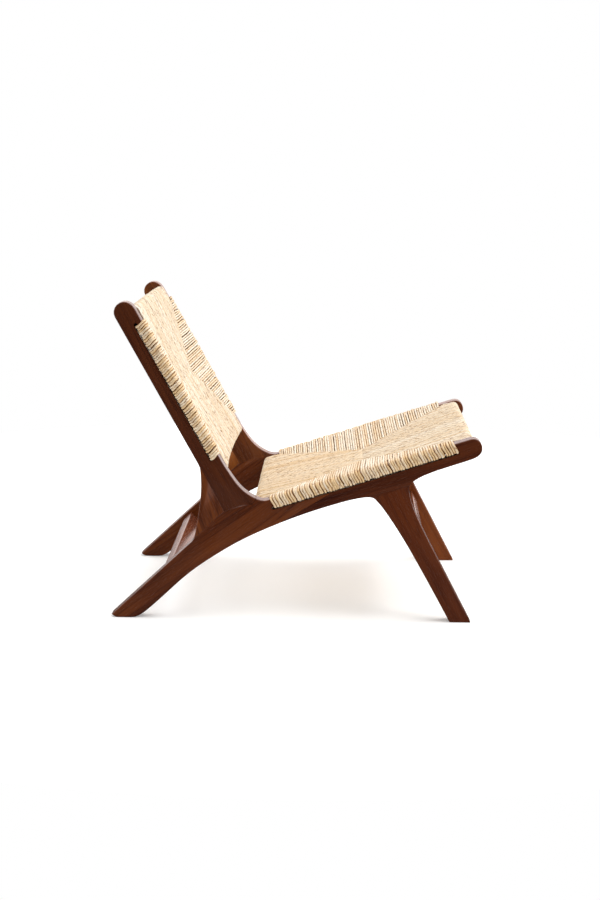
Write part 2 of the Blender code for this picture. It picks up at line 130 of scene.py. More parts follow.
links.new(ray.outputs["Is Camera Ray"], dome_mix.inputs["Fac"])
links.new(dome_light.outputs["Background"], dome_mix.inputs[1])
links.new(dome_seen.outputs["Background"], dome_mix.inputs[2])
world_out = nodes.new("ShaderNodeOutputWorld")
links.new(dome_mix.outputs["Shader"], world_out.inputs["Surface"])

for name, (strength, spread, heading) in LAMPS.items():
    lamp_data = bpy.data.lights.new(name, "SUN")
    lamp_data.energy = strength
    lamp_data.angle = math.radians(spread)
    lamp = bpy.data.objects.new(name, lamp_data)
    bpy.context.scene.collection.objects.link(lamp)
    lamp.rotation_euler = Vector(heading).to_track_quat("-Z", "Y").to_euler()

floor_mesh = bpy.data.meshes.new("studio_floor")
work = bmesh.new()
bmesh.ops.create_circle(work, cap_ends=True, segments=FLOOR_SIDES, radius=FLOOR_RADIUS)
bmesh.ops.translate(work, vec=(FLOOR_MIDDLE, 0.0, 0.0), verts=work.verts)
work.to_mesh(floor_mesh)
work.free()
floor = bpy.data.objects.new("studio_floor", floor_mesh)
bpy.context.scene.collection.objects.link(floor)
floor_paint = bpy.data.materials.new("floor_paint")
floor_paint.use_nodes = True
floor_shader = floor_paint.node_tree.nodes["Principled BSDF"]
floor_shader.inputs["Base Color"].default_value = FLOOR_COLOUR
floor_shader.inputs["Roughness"].default_value = 0.8
floor_shader.inputs["Specular IOR Level"].default_value = 0.0
floor_shader.inputs["Emission Color"].default_value = (1.0, 1.0, 1.0, 1.0)
floor_shader.inputs["Emission Strength"].default_value = FLOOR_GLOW
nodes, links = floor_paint.node_tree.nodes, floor_paint.node_tree.links
floor_dim = nodes.new("ShaderNodeBsdfDiffuse")
floor_dim.inputs["Color"].default_value = FLOOR_IN_GLOSS
ray = nodes.new("ShaderNodeLightPath")
floor_mix = nodes.new("ShaderNodeMixShader")
links.new(ray.outputs["Is Glossy Ray"], floor_mix.inputs["Fac"])
links.new(floor_shader.outputs["BSDF"], floor_mix.inputs[1])
links.new(floor_dim.outputs["BSDF"], floor_mix.inputs[2])
links.new(floor_mix.outputs["Shader"], nodes["Material Output"].inputs["Surface"])
floor_mesh.materials.append(floor_paint)


# ---------------------------------------------------------------- timber grain
# The wood's figure, shared by every board: broad growth bands, long streaks, dark
# vein lines and short pores, all drawn out along the group's own Y axis.

def socket(group, way, name, kind, value=None):
    made = group.interface.new_socket(name, in_out=way, socket_type=kind)
    if value is not None:
        made.default_value = value
    return made


def feed(tree, value, target):
    """Sets an input to a number or a colour, or links it to another node's output."""
    if isinstance(value, bpy.types.NodeSocket):
        tree.links.new(value, target)
    else:
        target.default_value = value


def maths(tree, operation, *values, clamp=False):
    node = tree.nodes.new("ShaderNodeMath")
    node.operation = operation
    node.use_clamp = clamp
    for index, value in enumerate(values):
        feed(tree, value, node.inputs[index])
    return node.outputs["Value"]


def blend_colours(tree, share, first, second, mode="MIX"):
    node = tree.nodes.new("ShaderNodeMix")
    node.data_type = "RGBA"
    node.blend_type = mode
    for name, value in (("Factor_Float", share), ("A_Color", first), ("B_Color", second)):
        feed(tree, value, next(item for item in node.inputs if item.identifier == name))
    return next(item for item in node.outputs if item.identifier == "Result_Color")


def ramp(tree, value, low, high):
    """0 up to the low value and 1 from the high one."""
    node = tree.nodes.new("ShaderNodeMapRange")
    tree.links.new(value, node.inputs["Value"])
    node.inputs["From Min"].default_value = low
    node.inputs["From Max"].default_value = high
    return node.outputs["Result"]


def mottle(tree, vector, scale, detail=2.0):
    """A noise texture, finer along the axes with the greater scale."""
    stretch = tree.nodes.new("ShaderNodeMapping")
    stretch.inputs["Scale"].default_value = scale
    tree.links.new(vector, stretch.inputs["Vector"])
    node = tree.nodes.new("ShaderNodeTexNoise")
    tree.links.new(stretch.outputs["Vector"], node.inputs["Vector"])
    node.inputs["Scale"].default_value = 1.0
    node.inputs["Detail"].default_value = detail
    return node


grain = bpy.data.node_groups.new("timber_grain", "ShaderNodeTree")
socket(grain, "INPUT", "Vector", "NodeSocketVector")
socket(grain, "INPUT", "Dark", "NodeSocketColor")
socket(grain, "INPUT", "Middle", "NodeSocketColor")
socket(grain, "INPUT", "Light", "NodeSocketColor")
socket(grain, "INPUT", "Figure", "NodeSocketFloat", 0.5)
socket(grain, "OUTPUT", "Color", "NodeSocketColor")
socket(grain, "OUTPUT", "Roughness", "NodeSocketFloat")
socket(grain, "OUTPUT", "Height", "NodeSocketFloat")
grain_in = grain.nodes.new("NodeGroupInput")
grain_out = grain.nodes.new("NodeGroupOutput")
place = grain_in.outputs["Vector"]
wander = mottle(grain, place, (3.0, 1.6, 3.0))
shift = grain.nodes.new("ShaderNodeVectorMath")
shift.operation = "MULTIPLY_ADD"
grain.links.new(wander.outputs["Color"], shift.inputs[0])
shift.inputs[1].default_value = (0.05, 0.05, 0.05)
grain.links.new(place, shift.inputs[2])
bent = shift.outputs["Vector"]
bands = mottle(grain, bent, (34.0, 1.5, 34.0), 3.0)
bands.inputs["Roughness"].default_value = 0.55
streaks = mottle(grain, bent, (170.0, 3.0, 170.0), 4.0)
veins = mottle(grain, bent, (70.0, 2.2, 70.0), 1.0)
pores = mottle(grain, place, (1500.0, 60.0, 1500.0), 1.0)
clouds = mottle(grain, place, (9.0, 4.0, 9.0))
tone = maths(grain, "MULTIPLY", ramp(grain, bands.outputs["Fac"], 0.30, 0.70), 0.45)
tone = maths(grain, "MULTIPLY_ADD", ramp(grain, streaks.outputs["Fac"], 0.30, 0.70), 0.25, tone)
tone = maths(grain, "MULTIPLY_ADD", ramp(grain, clouds.outputs["Fac"], 0.30, 0.70), 0.30, tone)
lower = blend_colours(
    grain, ramp(grain, tone, 0.12, 0.50), grain_in.outputs["Dark"], grain_in.outputs["Middle"]
)
figured = blend_colours(grain, ramp(grain, tone, 0.50, 0.92), lower, grain_in.outputs["Light"])
from_vein = maths(grain, "ABSOLUTE", maths(grain, "SUBTRACT", veins.outputs["Fac"], 0.5))
vein_line = maths(grain, "SUBTRACT", 1.0, ramp(grain, from_vein, 0.004, 0.030))
vein_share = maths(grain, "MULTIPLY", vein_line, grain_in.outputs["Figure"])
veined = blend_colours(grain, vein_share, figured, grain_in.outputs["Dark"])
pore_mask = ramp(grain, pores.outputs["Fac"], 0.60, 0.74)
pored = blend_colours(
    grain, maths(grain, "MULTIPLY", pore_mask, 0.35), veined, grain_in.outputs["Dark"]
)
rough = maths(grain, "MULTIPLY_ADD", tone, -0.08, 0.27)
rough = maths(grain, "MULTIPLY_ADD", pore_mask, 0.12, rough)
streak_height = maths(grain, "MULTIPLY", streaks.outputs["Fac"], 0.25)
height = maths(grain, "MULTIPLY_ADD", pore_mask, -0.6, streak_height)
grain.links.new(pored, grain_out.inputs["Color"])
grain.links.new(rough, grain_out.inputs["Roughness"])
grain.links.new(height, grain_out.inputs["Height"])


def timber(name, turn, offset, dark, middle, light, figure, bump=0.00008):
    """A finished wood. The turn, in degrees about X, Y, Z, lays the grain along the board."""
    material = bpy.data.materials.new(name)
    material.use_nodes = True
    tree = material.node_tree
    shader = tree.nodes["Principled BSDF"]
    coordinates = tree.nodes.new("ShaderNodeTexCoord")
    mapping = tree.nodes.new("ShaderNodeMapping")
    mapping.inputs["Rotation"].default_value = [math.radians(angle) for angle in turn]
    mapping.inputs["Location"].default_value = offset
    tree.links.new(coordinates.outputs["Object"], mapping.inputs["Vector"])
    figure_node = tree.nodes.new("ShaderNodeGroup")
    figure_node.node_tree = grain
    tree.links.new(mapping.outputs["Vector"], figure_node.inputs["Vector"])
    figure_node.inputs["Dark"].default_value = (*dark, 1.0)
    figure_node.inputs["Middle"].default_value = (*middle, 1.0)
    figure_node.inputs["Light"].default_value = (*light, 1.0)
    figure_node.inputs["Figure"].default_value = figure
    relief = tree.nodes.new("ShaderNodeBump")
    relief.inputs["Strength"].default_value = 1.0
    relief.inputs["Distance"].default_value = bump
    tree.links.new(figure_node.outputs["Height"], relief.inputs["Height"])
    tree.links.new(relief.outputs["Normal"], shader.inputs["Normal"])
    tree.links.new(figure_node.outputs["Color"], shader.inputs["Base Color"])
    tree.links.new(figure_node.outputs["Roughness"], shader.inputs["Roughness"])
    shader.inputs["Specular IOR Level"].default_value = 0.50
    shader.inputs["Specular Tint"].default_value = (1.0, 0.84, 0.80, 1.0)
    return material


# ---------------------------------------------------------------- side frames
# Each side is five boards of dark red-brown hardwood, doweled and glued edge to
# edge, then shaped and rounded as one, sanded, stained and given a satin oil.

BOARD_LOOKS = {  # grain heading above forwards, colour, spread of tone, strength of the veins
    "back_post": (-60.6, (0.073, 0.0172, 0.0054), 0.34, 0.50),
    "post_heel": (-70.0, (0.112, 0.0268, 0.0062), 0.36, 0.75),
    "rear_leg": (36.0, (0.110, 0.0260, 0.0062), 0.38, 0.65),
    "seat_rail": (18.0, (0.080, 0.0176, 0.0050), 0.36, 0.50),
    "front_leg": (-62.0, (0.089, 0.0190, 0.0052), 0.30, 0.40),
}
LEFT_PAINTED_LIGHT = {"front_leg": 2.0, "rear_leg": 1.05}  # painted light: the left boards are painted lighter, standing in for more light on the far frame's inner faces
LEFT_PAINTED_LIGHT_USUAL = 1.9
DARKEST = -1.5  # the grain's darkest and lightest tone, in spreads of tone
LIGHTEST = 1.3
ORANGE_SHIFT = 1.25
FLAT_EDGE = math.radians(38.0)
WOOD_MERGE = 0.00001


def stained(colour, level):
    """The stain a little stronger or weaker: a weak one is lighter and more orange."""
    red, green, blue = colour
    return red * level, green * level ** ORANGE_SHIFT, blue * level


def worked_wood(node_name, material):
    """A copy of one wooden piece with its triangles joined, shaded as worked wood."""
    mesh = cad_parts[node_name].data.copy()
    mesh.name = node_name + "_wood"
    work = bmesh.new()
    work.from_mesh(mesh)
    bmesh.ops.remove_doubles(work, verts=work.verts, dist=WOOD_MERGE)
    work.to_mesh(mesh)
    work.free()
    mesh.materials.clear()
    mesh.materials.append(material)
    mesh.shade_smooth()
    mesh.set_sharp_from_angle(angle=FLAT_EDGE)
    piece = bpy.data.objects.new(node_name + "_wood", mesh)
    bpy.context.scene.collection.objects.link(piece)
    even = piece.modifiers.new("even_faces", "WEIGHTED_NORMAL")
    even.mode = "FACE_AREA"
    even.weight = 80
    even.keep_sharp = True
    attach(piece, "root")
    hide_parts(node_name)


for number, (board, look) in enumerate(BOARD_LOOKS.items()):
    along, colour, spread, figure = look
    for side_number, side in enumerate(("right", "left")):
        # the left side's boards are painted lighter, as painted light on the far frame's inner
        # faces
        level = LEFT_PAINTED_LIGHT.get(board, LEFT_PAINTED_LIGHT_USUAL) if side == "left" else 1.0
        # each board is cut from a place of its own in the tree
        offset = (0.37 * number + 0.11 * side_number, 0.53 * number, 0.29 * side_number)
        material = timber(
            f"{side}_{board}_timber", (along + 180.0, 0.0, 0.0), offset,
            stained(colour, level * (1.0 + DARKEST * spread)), stained(colour, level),
            stained(colour, level * (1.0 + LIGHTEST * spread)), figure,
        )
        worked_wood(f"{side}_{board}", material)


# ---------------------------------------------------------------- stretchers and rails
# Two stretchers tie the legs, and four rails inside the rush carry the seat and
# the back. They are square-sawn lengths of the same wood, tenoned into the sides.

for number, name in enumerate(("rear_stretcher", "front_stretcher")):
    material = timber(
        name + "_timber", (0.0, 0.0, 90.0), (0.21, 0.4 * number, 0.7),
        (0.080, 0.0240, 0.0130), (0.160, 0.0480, 0.0240), (0.230, 0.0760, 0.0360), 0.45,
    )
    worked_wood(name, material)

for number, name in enumerate(
    ("seat_front_rail", "seat_rear_rail", "back_top_rail", "back_lower_rail")
):
    material = timber(
        name + "_timber", (0.0, 0.0, 90.0), (0.5, 0.3 * number, 0.1),
        (0.030, 0.0090, 0.0050), (0.055, 0.0150, 0.0075), (0.080, 0.0230, 0.0100), 0.4,
    )
    worked_wood(name, material)


# ---------------------------------------------------------------- dowels
# Beech pegs, glued in blind holes across every joint of the side frames. They
# keep their plain solid shape, since the finished chair hides them.

dowel_timber = timber(
    "dowel_timber", (90.0, 0.0, 0.0), (0.0, 0.0, 0.0),
    (0.30, 0.17, 0.08), (0.42, 0.26, 0.13), (0.52, 0.34, 0.18), 0.2,
)
for name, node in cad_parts.items():
    if name.endswith(("_dowel", "_dowel_front", "_dowel_rear")):
        node.data.materials.clear()
        node.data.materials.append(dowel_timber)


# ---------------------------------------------------------------- rush
# Hand-twisted rush cord, 4 to 6 mm thick, wound wet round the rails and the side
# strips and dried tight. At the mitre lines a turn goes down under the ones it meets.
# Every turn is a strand of its own, uneven in width, height and hue.

CORD = 0.0045  # usual thickness
CORD_PITCH = 0.0056  # from one turn to the next
CORD_SIDES = 7
CORD_STEP = 0.010  # longest stretch of a strand between two of its rings
TWIST_LENGTH = 0.024

rush = bpy.data.node_groups.new("twisted_rush", "ShaderNodeTree")
socket(rush, "INPUT", "Vector", "NodeSocketVector")
socket(rush, "INPUT", "Tone", "NodeSocketFloat", 0.5)
socket(rush, "INPUT", "Pale", "NodeSocketColor")
socket(rush, "INPUT", "Golden", "NodeSocketColor")
socket(rush, "INPUT", "Brown", "NodeSocketColor")
socket(rush, "INPUT", "Shade", "NodeSocketColor")
socket(rush, "OUTPUT", "Color", "NodeSocketColor")
socket(rush, "OUTPUT", "Roughness", "NodeSocketFloat")
socket(rush, "OUTPUT", "Height", "NodeSocketFloat")
rush_in = rush.nodes.new("NodeGroupInput")
rush_out = rush.nodes.new("NodeGroupOutput")
lay = rush_in.outputs["Vector"]
fibres = mottle(rush, lay, (80.0, 9.0, 1.0), 3.0)
flecks = mottle(rush, lay, (90.0, 5.0, 1.0), 1.5)
broad = mottle(rush, lay, (17.0, 0.7, 1.0))
lay_parts = rush.nodes.new("ShaderNodeSeparateXYZ")
rush.links.new(lay, lay_parts.inputs["Vector"])
turns = maths(rush, "MULTIPLY", lay_parts.outputs["X"], 1.0 / TWIST_LENGTH)
winding = maths(rush, "ADD", turns, lay_parts.outputs["Y"])
ridge = maths(rush, "SINE", maths(rush, "MULTIPLY", winding, 4.0 * math.pi))
ridge = maths(rush, "MULTIPLY_ADD", ridge, 0.5, 0.5)
hue = maths(rush, "MULTIPLY", rush_in.outputs["Tone"], 0.45)
hue = maths(rush, "MULTIPLY_ADD", ramp(rush, broad.outputs["Fac"], 0.25, 0.75), 0.20, hue)
hue = maths(rush, "MULTIPLY_ADD", ramp(rush, fibres.outputs["Fac"], 0.30, 0.70), 0.35, hue)
base = blend_colours(
    rush, ramp(rush, hue, 0.20, 0.95), rush_in.outputs["Pale"], rush_in.outputs["Golden"]
)
fleck_mask = maths(rush, "MULTIPLY", ramp(rush, flecks.outputs["Fac"], 0.60, 0.67), 0.85)
speckled = blend_colours(rush, fleck_mask, base, rush_in.outputs["Brown"])
# Painted shade in the twist's furrows, darkened towards the Brown colour.
furrow_shade = maths(rush, "MULTIPLY_ADD", ridge, -0.16, 0.16)
furrow_shaded = blend_colours(rush, furrow_shade, speckled, rush_in.outputs["Brown"])
# Painted shade: each strand's sides, where it turns away from the light, are darkened towards the
# Shade colour, the deeper the more golden the strand.
around = maths(rush, "MULTIPLY", lay_parts.outputs["Y"], 2.0 * math.pi)
flank = maths(rush, "ABSOLUTE", maths(rush, "COSINE", around))
flank_shade_depth = maths(rush, "MULTIPLY_ADD", rush_in.outputs["Tone"], 0.50, 0.35, clamp=True)
flank_shade_share = maths(rush, "MULTIPLY", ramp(rush, flank, 0.40, 0.98), flank_shade_depth)
flank_shaded = blend_colours(rush, flank_shade_share, furrow_shaded, rush_in.outputs["Shade"], "MULTIPLY")
rush_rough = maths(rush, "MULTIPLY_ADD", fibres.outputs["Fac"], 0.25, 0.50)
fibre_height = maths(rush, "MULTIPLY", fibres.outputs["Fac"], 0.6)
rush_height = maths(rush, "MULTIPLY_ADD", ridge, 0.7, fibre_height)
rush.links.new(flank_shaded, rush_out.inputs["Color"])
rush.links.new(rush_rough, rush_out.inputs["Roughness"])
rush.links.new(rush_height, rush_out.inputs["Height"])


def rush_finish(name, pale, golden, brown, shade, bump):
    material = bpy.data.materials.new(name)
    material.use_nodes = True
    tree = material.node_tree
    shader = tree.nodes["Principled BSDF"]
    uv = tree.nodes.new("ShaderNodeUVMap")
    uv.uv_map = "lay"
    strand_tone = tree.nodes.new("ShaderNodeAttribute")
    strand_tone.attribute_name = "tone"
    look = tree.nodes.new("ShaderNodeGroup")
    look.node_tree = rush
    tree.links.new(uv.outputs["UV"], look.inputs["Vector"])
    tree.links.new(strand_tone.outputs["Fac"], look.inputs["Tone"])
    look.inputs["Pale"].default_value = (*pale, 1.0)
    look.inputs["Golden"].default_value = (*golden, 1.0)
    look.inputs["Brown"].default_value = (*brown, 1.0)
    look.inputs["Shade"].default_value = (*shade, 1.0)
    relief = tree.nodes.new("ShaderNodeBump")
    relief.inputs["Strength"].default_value = 0.8
    relief.inputs["Distance"].default_value = bump
    tree.links.new(look.outputs["Height"], relief.inputs["Height"])
    tree.links.new(relief.outputs["Normal"], shader.inputs["Normal"])
    tree.links.new(look.outputs["Color"], shader.inputs["Base Color"])
    tree.links.new(look.outputs["Roughness"], shader.inputs["Roughness"])
    shader.inputs["Specular IOR Level"].default_value = 0.22
    return material


rush_cord = rush_finish(
    "rush_cord", (0.88, 0.82, 0.70), (0.76, 0.55, 0.30), (0.28, 0.14, 0.06),
    (0.56, 0.34, 0.15), 0.0006,
)

frame_low, frame_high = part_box("left_back_post")
OUTER_FACE = frame_high.x
INNER_FACE = frame_low.x
EDGE_ROUND = 0.005  # of the side strips
RAIL_ROUND = 0.008
TENON_SLACK = 0.0001  # how near a tenon's end a point belongs to it


class Panel:
    """One woven panel, in its own lengths: x across the chair, along from its first
    rail to its second, and out from the show face of the side strips."""

    def __init__(self, first, second, first_drop, second_drop, **sizes):
        start = self.tenon_centre(first)
        end = self.tenon_centre(second)
        span = (end - start).length
        lean = math.asin((second_drop - first_drop) / span)
        straight = (end - start) / span
        self.along = Matrix.Rotation(lean, 2) @ straight
        self.out = Matrix.Rotation(math.radians(90.0), 2) @ self.along
        self.start = start + first_drop * self.out
        self.length = span * math.cos(lean)
        self.drops = (first_drop, second_drop)
        for name, value in sizes.items():
            setattr(self, name, value)
        self.corner = self.rail_half[0] + CORD

    @staticmethod
    def tenon_centre(node_name):
        """The (forward, up) middle of the rail's left tenon end."""
        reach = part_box(node_name)[1].x - TENON_SLACK
        ends = [v.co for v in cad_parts[node_name].data.vertices if v.co.x > reach]
        low = Vector((min(-co.y for co in ends), min(co.z for co in ends)))
        high = Vector((max(-co.y for co in ends), max(co.z for co in ends)))
        return (low + high) / 2.0

    def point(self, x, along, out):
        flat = self.start + along * self.along + out * self.out
        return Vector((x, -flat.x, flat.y))

    def share_along(self, along):
        """How far on a mitre a place is, 0 at the corner and 1 at its tip, by its along."""
        from_rail = self.length - along if along > self.length / 2.0 else along
        return (from_rail - self.corner) / (self.length / 2.0 - self.corner)

    def share_across(self, x):
        """The same by its x."""
        return (INNER_FACE - abs(x)) / (INNER_FACE - self.tip)

    def bow(self, x, end):
        """How far the first or the second rail is bowed in there."""
        return self.bows[end] * (1.0 - (x / INNER_FACE) ** 2)

    def skins(self, share):
        """Out of the show side's and the hidden side's strands at the mitre."""
        show = self.corner_out + share * (self.tip_out - self.corner_out)
        hidden = self.hidden_corner + share * (self.hidden_tip - self.hidden_corner)
        return show, hidden


# How far the two rails' middles lie in from the strips' show face, their half section
# and their bows, the side strips' depth, where the turns round them start and end, the
# half width between the mitres' tips, and how far out the show layer and the hidden
# layer lie at a mitre's corner and at its tip.
seat = Panel(
    "seat_rear_rail", "seat_front_rail", 0.0214, 0.0234,
    rail_half=(0.010, 0.017), bows=(0.0, 0.0), strip=0.0155, wraps=(0.029, 0.438),
    tip=0.070, corner_out=0.0010, tip_out=-0.0155, hidden_corner=-0.0240, hidden_tip=-0.0335,
)
back = Panel(
    "back_top_rail", "back_lower_rail", 0.0125, 0.0125,
    rail_half=(0.0175, 0.0095), bows=(0.006, 0.009), strip=0.0130, wraps=(0.016, 0.342),
    tip=0.108, corner_out=0.0020, tip_out=-0.0155, hidden_corner=-0.0200, hidden_tip=-0.0330,
)


def arc(centre, radius, first, last, steps):
    """Points on an arc between two angles in degrees, both ends included."""
    points = []
    for step in range(steps + 1):
        angle = math.radians(first + (last - first) * step / steps)
        points.append((centre[0] + radius * math.cos(angle), centre[1] + radius * math.sin(angle)))
    return points


def divided(points, longest, outer_longest=None):
    """The same line with its long stretches divided, more finely past the inner face."""
    line = [Vector(points[0])]
    for point in points[1:]:
        point = Vector(point)
        gap = (point - line[-1]).length
        outer = outer_longest and min(point.x, line[-1].x) > INNER_FACE
        pieces = max(1, math.ceil(gap / (outer_longest if outer else longest)))
        origin = line[-1].copy()
        for piece in range(1, pieces + 1):
            line.append(origin.lerp(point, piece / pieces))
    return line


LUMP_RATE = 70.0  # how closely the lumps follow each other along a strand, per metre
LUMP_DEPTH = 0.16
WANDER = 0.00035


def lay_strand(work, layers, line, lateral, thick, looks, seed):
    """One strand of rush along a line of points. It is a grid rolled into a tube that
    closes to a tip at both ends, with lumps and a wandering line. The looks, one per
    point, are its width, how golden it is and how uneven it is there."""
    uv_layer, tone_layer = layers
    rings = len(line)
    made = bmesh.ops.create_grid(work, x_segments=CORD_SIDES, y_segments=rings - 1, size=1.0)
    run = [0.0]
    for here, there in zip(line, line[1:]):
        run.append(run[-1] + (there - here).length)
    place_of = {}
    frames = []
    for ring, centre in enumerate(line):
        before = line[max(ring - 1, 0)]
        after = line[min(ring + 1, rings - 1)]
        forward = (after - before).normalized()
        normal = lateral.cross(forward).normalized()
        taper = 0.0 if ring in (0, rings - 1) else 1.0
        width, tone, lump = looks[ring]
        # four readings of one noise, each from a place of its own
        where = Vector((seed * 7.31, run[ring] * LUMP_RATE, seed * 1.7))
        swell = 1.0 + LUMP_DEPTH * lump * noise.noise(where)
        flat = 1.0 + LUMP_DEPTH * lump * noise.noise(where + Vector((3.1, 0.0, 0.0)))
        drift = WANDER * lump * noise.noise(where * 0.6 + Vector((0.0, 9.2, 0.0)))
        lift = WANDER * lump * noise.noise(where * 0.8 + Vector((0.0, 0.0, 5.5)))
        frames.append((
            centre + lateral * drift + normal * lift, normal,
            taper * width * swell / 2.0, taper * thick * flat / 2.0, tone,
        ))
    for vert in made["verts"]:
        column = round((vert.co.x + 1.0) / 2.0 * CORD_SIDES)
        ring = round((vert.co.y + 1.0) / 2.0 * (rings - 1))
        place_of[vert] = (run[ring], column / CORD_SIDES)
        centre, normal, half_width, half_thick, tone = frames[ring]
        angle = 2.0 * math.pi * (column % CORD_SIDES) / CORD_SIDES
        across = lateral * (half_width * math.cos(angle))
        vert.co = centre + across + normal * (half_thick * math.sin(angle))
        vert[tone_layer] = tone
    new_faces = {face for vert in made["verts"] for face in vert.link_faces}
    for face in new_faces:
        face.smooth = True
        for loop in face.loops:
            reached, around = place_of[loop.vert]
            # no two strands read the same stretch of the rush's pattern
            loop[uv_layer].uv = (reached + 0.83 * seed, around + 3.0 * seed)


STRAND_MERGE = 0.000002


def new_strands():
    work = bmesh.new()
    layers = (work.loops.layers.uv.new("lay"), work.verts.layers.float.new("tone"))
    return work, layers


def finish_strands(work, name, material):
    bmesh.ops.remove_doubles(work, verts=work.verts, dist=STRAND_MERGE)
    bmesh.ops.recalc_face_normals(work, faces=work.faces)
    mesh = bpy.data.meshes.new(name)
    work.to_mesh(mesh)
    work.free()
    mesh.materials.append(material)
    piece = bpy.data.objects.new(name, mesh)
    bpy.context.scene.collection.objects.link(piece)
    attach(piece, "root")
    return piece


DIVE = 0.0060  # how deep a strand goes down at a mitre
DIVE_RUN = 0.0030  # how far it goes on past the mitre
DIVE_START = 0.0015  # how far before the mitre it starts to go down
DIVE_BEND = 0.3  # the share of the dive that is done where it turns steeper
PALENESS = 1.4  # more than 1: there are more pale strands than golden ones


def mitre_end(mitre, way, level, inward):
    """A strand's end at a mitre, where it runs in level and then goes down. The way is 1
    where it comes from above the mitre's value and -1 where it comes from below. Inward
    is -1 on the show side and 1 on the hidden side."""
    return [
        (mitre + way * DIVE_START, level),
        (mitre - way * DIVE_BEND * DIVE_RUN, level + inward * DIVE_BEND * DIVE),
        (mitre - way * DIVE_RUN, level + inward * DIVE),
    ]


def within(value, least=0.0):
    """The value, kept between the least one and 1."""
    return min(1.0, max(least, value))


SLANT = 0.0044  # how far a turn advances down a strip's outer face
EASING = 0.024  # over what length a strand eases from one sideways shift to the next
EASING_START = 0.004  # how far outside the strip's inner face that starts
STRIP_PROUD = (-0.0005, 0.0006)  # least and most that a turn stands off the strip
STRIP_THICK = (0.92, 1.20)  # least and greatest thickness, in cords
INNER_SWAY = 0.0005  # how far a turn strays sideways between the mitre and the strip
OUTER_SWAY = 0.0011  # how far it does on the outer face
CROWDING = 0.0007  # how far neighbouring turns are pushed together
LOWER_ROUND = 0.0008  # how round a turn's lower bend is on its inside
SLOT_INSET = 0.001  # how far outside the strip's inner face a turn bends into the slot
WRAP_STEP = 0.0035  # longest stretch between two rings on the outer face
WRAP_UNEVEN = 0.0022  # the most that a turn's lower bend hangs below the strip
WRAP_UNEVEN_LEAST = 0.1  # the least, as a share of it
WRAP_PAINTED_SHADE = 0.65  # painted shade: the outer face, in less light than the top, is painted more golden
WRAP_LUMPS = 1.6
WRAP_SPREAD = (1.01, 1.16)  # widths on the outer face, in pitches


def side_strands(panel, side, spread, label, seed):
    """The strands that wrap one side strip and run in to the mitres, on both layers.
    The spread is the least and the greatest width of a strand, in pitches."""
    work, layers = new_strands()
    draw = random.Random(seed)
    half = CORD / 2.0
    first, last = panel.wraps
    count = round((last - first) / CORD_PITCH)
    pitch = (last - first) / count
    lateral = Vector((0.0, -panel.along.x, panel.along.y))
    for number in range(count):
        along = first + (number + 0.5) * pitch
        share = min(1.0, panel.share_along(along))
        show, hidden = panel.skins(share)
        mitre = INNER_FACE - share * (INNER_FACE - panel.tip)
        proud = draw.uniform(*STRIP_PROUD)
        strip_low = -panel.strip - draw.uniform(WRAP_UNEVEN_LEAST, 1.0) * WRAP_UNEVEN
        upper_middle = (OUTER_FACE - EDGE_ROUND, -EDGE_ROUND)
        lower_middle = (OUTER_FACE - LOWER_ROUND, strip_low + LOWER_ROUND)
        section = mitre_end(mitre, 1.0, show - half, -1.0)[::-1]
        section += [(INNER_FACE + SLOT_INSET, half + proud)]
        section += arc(upper_middle, EDGE_ROUND + half + proud, 90.0, 0.0, 4)
        section += arc(lower_middle, half + LOWER_ROUND, 0.0, -90.0, 3)
        section += [(INNER_FACE + SLOT_INSET, strip_low - half)]
        section += mitre_end(mitre, 1.0, hidden + half, 1.0)
        line = divided(section, CORD_STEP, WRAP_STEP)
        crowd = CROWDING * noise.noise(Vector((number * 0.42, seed * 0.37, 0.0)))
        sway_in = crowd + draw.uniform(-INNER_SWAY, INNER_SWAY)
        sway_out = crowd + draw.uniform(-OUTER_SWAY, OUTER_SWAY)
        sway_under = draw.uniform(-INNER_SWAY, INNER_SWAY)
        tone = draw.random() ** PALENESS
        width = pitch * draw.uniform(*spread)
        width_out = pitch * draw.uniform(*WRAP_SPREAD)
        thick = CORD * draw.uniform(*STRIP_THICK)
        placed = []
        looks = []
        hidden_side = False
        for x, out in line:
            hidden_side = hidden_side or (x > INNER_FACE and out < strip_low)
            inside = within((INNER_FACE + EASING_START - x) / EASING)
            sway = sway_out + inside * ((sway_under if hidden_side else sway_in) - sway_out)
            down = within(-out / panel.strip) if x > INNER_FACE else float(hidden_side)
            placed.append(panel.point(side * x, along + sway + SLANT * (down - 0.5), out))
            outward = within((x - INNER_FACE) / (OUTER_FACE - INNER_FACE))
            wide = width + outward * (width_out - width)
            # painted shade: towards the outer face the strand is painted more golden, with deeper
            # shaded flanks
            looks.append((wide, tone + WRAP_PAINTED_SHADE * outward, 1.0 + WRAP_LUMPS * outward))
        lay_strand(work, layers, placed, lateral, thick, looks, seed + number)
    finish_strands(work, label, rush_cord)


RAIL_PROUD = (-0.0003, 0.0004)  # least and most that a turn stands off the rail
RAIL_SWAY = 0.0004
RAIL_SPREAD = (0.92, 1.12)  # widths, in pitches
RAIL_THICK = (0.84, 1.12)  # in cords
RAIL_INSET = 0.003  # how far outside the rail's inner edge a turn bends
STRIP_GAP = 0.0012  # from a strip's inner face to the first turn round a rail


